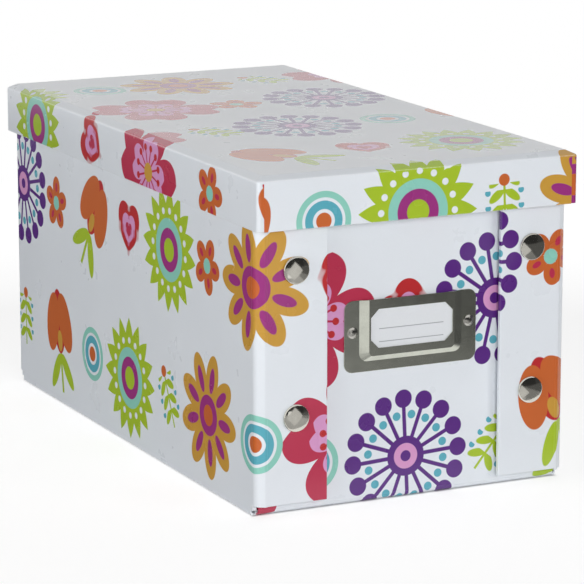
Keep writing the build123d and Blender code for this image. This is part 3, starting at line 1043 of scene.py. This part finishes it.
class STUDS_OT_press_studs(bpy.types.Operator):
    """Turn the press studs: domed caps and sprung sockets on the flaps, studs and posts on the ends"""

    bl_idname = "storage_box.press_studs"
    bl_label = "Press studs"

    def execute(self, context):
        metals = context.scene.box_metal
        turned_tree()
        bright = metal("Bright nickel", metals.nickel, 0.09, (400.0, 400.0, 400.0), 0.15)
        spring = metal("Spring steel", metals.spring, 0.26, (900.0, 900.0, 900.0), 0.3)
        rim = arc((5.451, 0.808), 0.9, -63.9, 71.41, 14)
        cap = dome(CAP_BALL, CAP_TURN, CAP_TOP, 12) + rim[::-1] + [(1.9, 0.0), (1.9, -2.0), (0.0, -2.0)]
        socket = [(0.0, 0.0), (5.2, 0.0), (5.2, -1.6)] + arc((4.6, -1.6), 0.6, 0, -90, 6)[1:]
        socket += [(3.15, -2.2), (3.0, -2.05), (3.0, -1.8), (3.3, -1.75), (3.3, -0.4), (0.0, -0.4)]
        stud = [(0.0, 2.2), (2.3, 2.2)] + arc((2.1, 1.6), 0.6, 60, -60, 8) + [(2.3, 0.9), (2.3, 0.42)]
        stud += [(4.3, 0.36), (4.7, 0.2), (4.8, 0.0), (0.0, 0.0)]
        post = [(0.0, -0.5), (1.6, -0.48), (3.2, -0.40), (4.2, -0.26), (4.55, -0.1), (4.6, 0.0)]
        post += [(1.3, 0.0), (1.3, 2.2), (0.0, 2.2)]
        for end, way in ENDS.items():
            places = []
            for side in SIDES:
                corner = f"{end}_{side}"
                inside, outside = self.faces(f"{corner}_flap", way)
                low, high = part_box(f"{corner}_snap_caps")
                x = (low[0] + high[0]) / 2
                wide = (high[0] - low[0]) / 2
                first, last = low[2] + wide, high[2] - wide
                rows = (2, last - first)
                places.append((x, first, rows))
                turned_pieces(f"{corner}_stud_caps", cap, (x, outside, first), way, ONE, rows, bright,
                              "tray", f"{corner}_snap_caps")
                turned_pieces(f"{corner}_stud_sockets", socket, (x, inside, first), way, ONE, rows, spring,
                              "tray", f"{corner}_snap_sockets")
            outside = self.faces(f"{end}_end_board", way)[1]
            inside = self.faces(f"{end}_end_lining", way)[0]
            left, first, rows = places[0]
            columns = (2, places[1][0] - left)
            turned_pieces(f"{end}_studs", stud, (left, outside, first), way, columns, rows, spring,
                          f"{end}_end", f"{end}_snap_studs")
            turned_pieces(f"{end}_posts", post, (left, inside, first), way, columns, rows, bright,
                          f"{end}_end", f"{end}_snap_posts")
        return {"FINISHED"}

    def faces(self, node, way):
        """Inner and outer face of a board across the end of the box."""
        low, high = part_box(node)
        return (low[1], high[1]) if way > 0 else (high[1], low[1])


class LABEL_OT_label(bpy.types.Operator):
    """Finish the stamped label holder, its dome rivets and its plain card"""

    bl_idname = "storage_box.label"
    bl_label = "Label holder"

    def execute(self, context):
        metals = context.scene.box_metal
        paper = context.scene.box_paper
        steel = metal("Dull steel", metals.steel, 0.15, (260.0, 900.0, 2600.0), 0.4)
        bright = metal("Rivet nickel", metals.spring, 0.2, (500.0, 500.0, 500.0), 0.15)
        mesh = NODES["label_holder"].data.copy()
        finish_mesh(mesh, 10.0)
        holder = add_piece("label_holder_plate", mesh, [steel], None, ["label_holder"])
        work = bmesh.new()
        work.from_mesh(mesh)
        bmesh.ops.dissolve_limit(work, angle_limit=math.radians(0.5), verts=work.verts, edges=work.edges)
        work.to_mesh(mesh)
        work.free()
        bevel = holder.modifiers.new("Rolled edges", "BEVEL")
        bevel.width = metals.edge
        bevel.segments = 2
        bevel.limit_method = "ANGLE"
        bevel.angle_limit = math.radians(40)
        bevel.harden_normals = False
        rounded = bpy.data.meshes.new_from_object(holder.evaluated_get(bpy.context.evaluated_depsgraph_get()))
        holder.modifiers.remove(bevel)
        holder.data = rounded
        rounded.shade_smooth()
        rounded.set_sharp_from_angle(angle=math.radians(16))
        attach(holder, "front_end")
        low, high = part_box("label_rivets")
        radius = (high[2] - low[2]) / 2
        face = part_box("front_end_board")[0][1] - PLATE * MM
        turn = 2 * math.degrees(math.atan(RIVET_HEAD / RIVET_RADIUS))
        ball = RIVET_RADIUS / math.sin(math.radians(turn))
        rivet = dome(ball, turn, RIVET_HEAD, 9) + [(2.68, 0.2), (2.6, 0.08), (2.4, 0.0)]
        rivet += [(1.2, 0.0), (1.2, -2.8), (1.9, -2.8), (2.1, -2.95), (2.0, -3.2), (0.0, -3.2)]
        columns = (2, high[0] - low[0] - 2 * radius)
        turned_pieces("label_dome_rivets", rivet, (low[0] + radius, face, (low[2] + high[2]) / 2), ENDS["front"],
                      columns, ONE, bright, "front_end", "label_rivets")
        low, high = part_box("label_card")
        middle = (low[2] + high[2]) / 2
        rules = [middle - drop * MM for drop in (0.5, 6.5)]
        dress("label_card", lining_paper("Label card", paper.card, rules))
        return {"FINISHED"}


# Stage


def look(thing, place, target):
    """Put a lamp or camera somewhere and point it at a place."""
    thing.location = place
    thing.rotation_euler = (Vector(target) - Vector(place)).to_track_quat("-Z", "Y").to_euler()


AIM = (0, 0, 80 * MM)  # the middle of the box, where the lamps point


def softbox(name, place, size, watts):
    """A soft square lamp that points at the box."""
    lamp = bpy.data.lights.new(name, "AREA")
    lamp.shape = "RECTANGLE"
    lamp.size, lamp.size_y = size
    lamp.energy = watts
    holder = bpy.data.objects.new(name, lamp)
    bpy.context.scene.collection.objects.link(holder)
    look(holder, place, AIM)
    holder.visible_camera = False
    holder.visible_glossy = False


def flat_sheet(name, half_x, half_y, level=0.0):
    """A flat sheet that isn't part of the box, and the empty tree and output of its material."""
    mesh = bpy.data.meshes.new(name)
    corners = ((-half_x, -half_y), (half_x, -half_y), (half_x, half_y), (-half_x, half_y))
    mesh.from_pydata([(x, y, level) for x, y in corners], [], [(0, 1, 2, 3)])
    sheet = bpy.data.objects.new(name, mesh)
    bpy.context.scene.collection.objects.link(sheet)
    material = bpy.data.materials.new(name)
    material.use_nodes = True
    mesh.materials.append(material)
    tree = material.node_tree
    tree.nodes.clear()
    return sheet, tree, put(tree, "ShaderNodeOutputMaterial").inputs[0]


def card(name, place, size, strength, target, roll=0.0):
    """A flat card that shows only in gloss."""
    board, tree, surface = flat_sheet(name, size[0] / 2, size[1] / 2)
    facing = (Vector(target) - Vector(place)).to_track_quat("Z", "Y").to_matrix().to_4x4()
    board.matrix_world = Matrix.Translation(place) @ facing @ Matrix.Rotation(roll, 4, "Z")
    glow = put(tree, "ShaderNodeEmission")
    glow.inputs["Strength"].default_value = strength
    tree.links.new(glow.outputs[0], surface)
    board.visible_camera = False
    board.visible_diffuse = False
    board.visible_shadow = False
    board.visible_transmission = False


class STAGE_OT_stage(bpy.types.Operator):
    """Set up the camera, the softboxes, the pale floor and the white room"""

    bl_idname = "storage_box.stage"
    bl_label = "Stage"

    def execute(self, context):
        scene = context.scene
        stage = scene.box_stage
        view = bpy.data.cameras.new("Camera")
        view.lens = stage.lens
        view.sensor_width = 36.0
        view.clip_end = 50.0
        camera = bpy.data.objects.new("Camera", view)
        scene.collection.objects.link(camera)
        look(camera, stage.eye, Vector(stage.eye) + Vector(stage.gaze))
        scene.camera = camera
        scene.view_settings.view_transform = "Standard"
        softbox("Key softbox", (-0.42, -1.75, 0.46), (0.8, 0.7), stage.key)
        softbox("Right softbox", (1.0, -1.6, 0.42), (0.5, 0.7), stage.right)
        softbox("Left softbox", (-1.7, -0.35, 0.45), (1.2, 0.9), stage.fill)
        softbox("Top softbox", (-0.1, -0.1, 1.6), (1.2, 1.2), stage.top)
        softbox("Back softbox", (1.0, 1.8, 0.32), (1.2, 0.6), stage.back)
        self.room(scene, stage)
        card("Backdrop glow", (1.2, 2.6, 0.9), (6.0, 2.0), stage.sheen, (0, 0, 0.15))
        card("Dark wall", (0.4, -3.2, 0.6), (7.0, 3.6), 0.03, (0.4, 0, 0.6))
        card("Right wall", (3.0, -0.6, 0.6), (6.0, 3.6), 0.05, (0, -0.6, 0.6))
        for x, y, z, size in ((-0.0457, -0.196, 0.100, 0.039), (-0.0457, -0.196, 0.038, 0.039),
                              (0.0525, -0.170, 0.103, 0.020), (0.0525, -0.170, 0.036, 0.020)):
            card("Grey diamond", (x, y, z), (size, size), 0.62, (x, 0, z), math.radians(45))
        card("Pale strip", (-0.057, -0.31, 0.042), (0.04, 0.06), 1.0, (-0.057, 0, 0.042))
        tables = (
            ("Grey table", (-1.50, -3.20, 0.07, -0.19), 0.45),
            ("Dim table", (0.07, -3.20, 0.17, -0.19), 0.24),
            ("Dark table", (0.17, -3.20, 3.00, -0.19), 0.10),
            ("Dark floor", (-0.90, -0.16, -0.0765, 1.00), 0.05),
        )
        for layer, (name, (left, near, right, far), strength) in enumerate(tables):
            middle = ((left + right) / 2, (near + far) / 2)
            card(name, (*middle, 0.0004 + 0.0001 * layer), (right - left, far - near), strength, (*middle, 1.0))
        self.floor(stage)
        return {"FINISHED"}

    def seen(self, tree):
        """One where a ray comes from the camera, gloss or glass."""
        path = put(tree, "ShaderNodeLightPath")
        seen = Wire(tree, path.outputs["Is Camera Ray"]).above(Wire(tree, path.outputs["Is Glossy Ray"]))
        return seen.above(Wire(tree, path.outputs["Is Transmission Ray"]))

    def room(self, scene, stage):
        """White to the eye and to gloss, and a soft even light otherwise."""
        world = bpy.data.worlds.new("White room")
        world.use_nodes = True
        tree = world.node_tree
        tree.nodes.clear()
        white = put(tree, "ShaderNodeBackground")
        soft = put(tree, "ShaderNodeBackground")
        soft.inputs["Strength"].default_value = stage.ambient
        for sky in (white, soft):
            sky.inputs["Color"].default_value = (1, 1, 1, 1)
        blend = put(tree, "ShaderNodeMixShader")
        feed(tree, blend.inputs[0], self.seen(tree))
        tree.links.new(soft.outputs[0], blend.inputs[1])
        tree.links.new(white.outputs[0], blend.inputs[2])
        output = put(tree, "ShaderNodeOutputWorld")
        tree.links.new(blend.outputs[0], output.inputs[0])
        scene.world = world

    def floor(self, stage):
        """A plain pale floor that keeps a faint shadow of the box."""
        near, far, near_glow = 0.3, 0.7, 1.5
        _, tree, surface = flat_sheet("Floor", 12.0, 12.0, -0.2 * MM)
        matt = put(tree, "ShaderNodeBsdfDiffuse")
        matt.inputs["Color"].default_value = opaque(stage.floor)
        glow = put(tree, "ShaderNodeEmission")
        x, y, _ = parts(tree, put(tree, "ShaderNodeTexCoord").outputs["Object"])
        away = calc(tree, "DIVIDE", (x * x + y * y).turn("SQRT") - near, far - near, clamp=True)
        feed(tree, glow.inputs["Strength"], near_glow - away * (near_glow - 1.0))
        outside = (abs(x) - FOOTPRINT[0]).above(abs(y) - FOOTPRINT[1])
        clear = calc(tree, "MULTIPLY", outside, 600.0, clamp=True)
        blend = put(tree, "ShaderNodeMixShader")
        feed(tree, blend.inputs[0], self.seen(tree) * (away * 0.5 + 0.5) * clear)
        tree.links.new(matt.outputs[0], blend.inputs[1])
        tree.links.new(glow.outputs[0], blend.inputs[2])
        tree.links.new(blend.outputs[0], surface)


class STORAGE_PT_box(bpy.types.Panel):
    """Lists the steps and settings of the storage box"""

    bl_idname = "STORAGE_PT_box"
    bl_label = "Storage Box"
    bl_space_type = "VIEW_3D"
    bl_region_type = "UI"
    bl_category = "Storage Box"

    def draw(self, context):
        layout = self.layout
        for step in STEPS:
            layout.operator(step.bl_idname)
        for settings in (context.scene.box_paper, context.scene.box_metal, context.scene.box_stage):
            column = layout.column(align=True)
            for name in settings.__annotations__:
                column.prop(settings, name)


SETTINGS = {"box_paper": PaperSettings, "box_metal": MetalSettings, "box_stage": StageSettings}
STEPS = (COVER_OT_tray, COVER_OT_hinges, COVER_OT_linings, COVER_OT_lid, STUDS_OT_press_studs, LABEL_OT_label,
         STAGE_OT_stage)


def register():
    for name, settings in SETTINGS.items():
        bpy.utils.register_class(settings)
        setattr(bpy.types.Scene, name, PointerProperty(type=settings))
    for step in STEPS:
        bpy.utils.register_class(step)
    bpy.utils.register_class(STORAGE_PT_box)


def unregister():
    bpy.utils.unregister_class(STORAGE_PT_box)
    for step in reversed(STEPS):
        bpy.utils.unregister_class(step)
    for name, settings in SETTINGS.items():
        delattr(bpy.types.Scene, name)
        bpy.utils.unregister_class(settings)


def main():
    register()
    paper = bpy.context.scene.box_paper
    linen_group(paper)
    wear_and_highlight_group()
    print_group(paper)
    paper_group()
    metal_group()
    bpy.ops.storage_box.cover_tray()
    bpy.ops.storage_box.fold_hinges()
    bpy.ops.storage_box.linings()
    bpy.ops.storage_box.cover_lid()
    bpy.ops.storage_box.press_studs()
    bpy.ops.storage_box.label()
    bpy.ops.storage_box.stage()


if __name__ == "__main__":
    main()
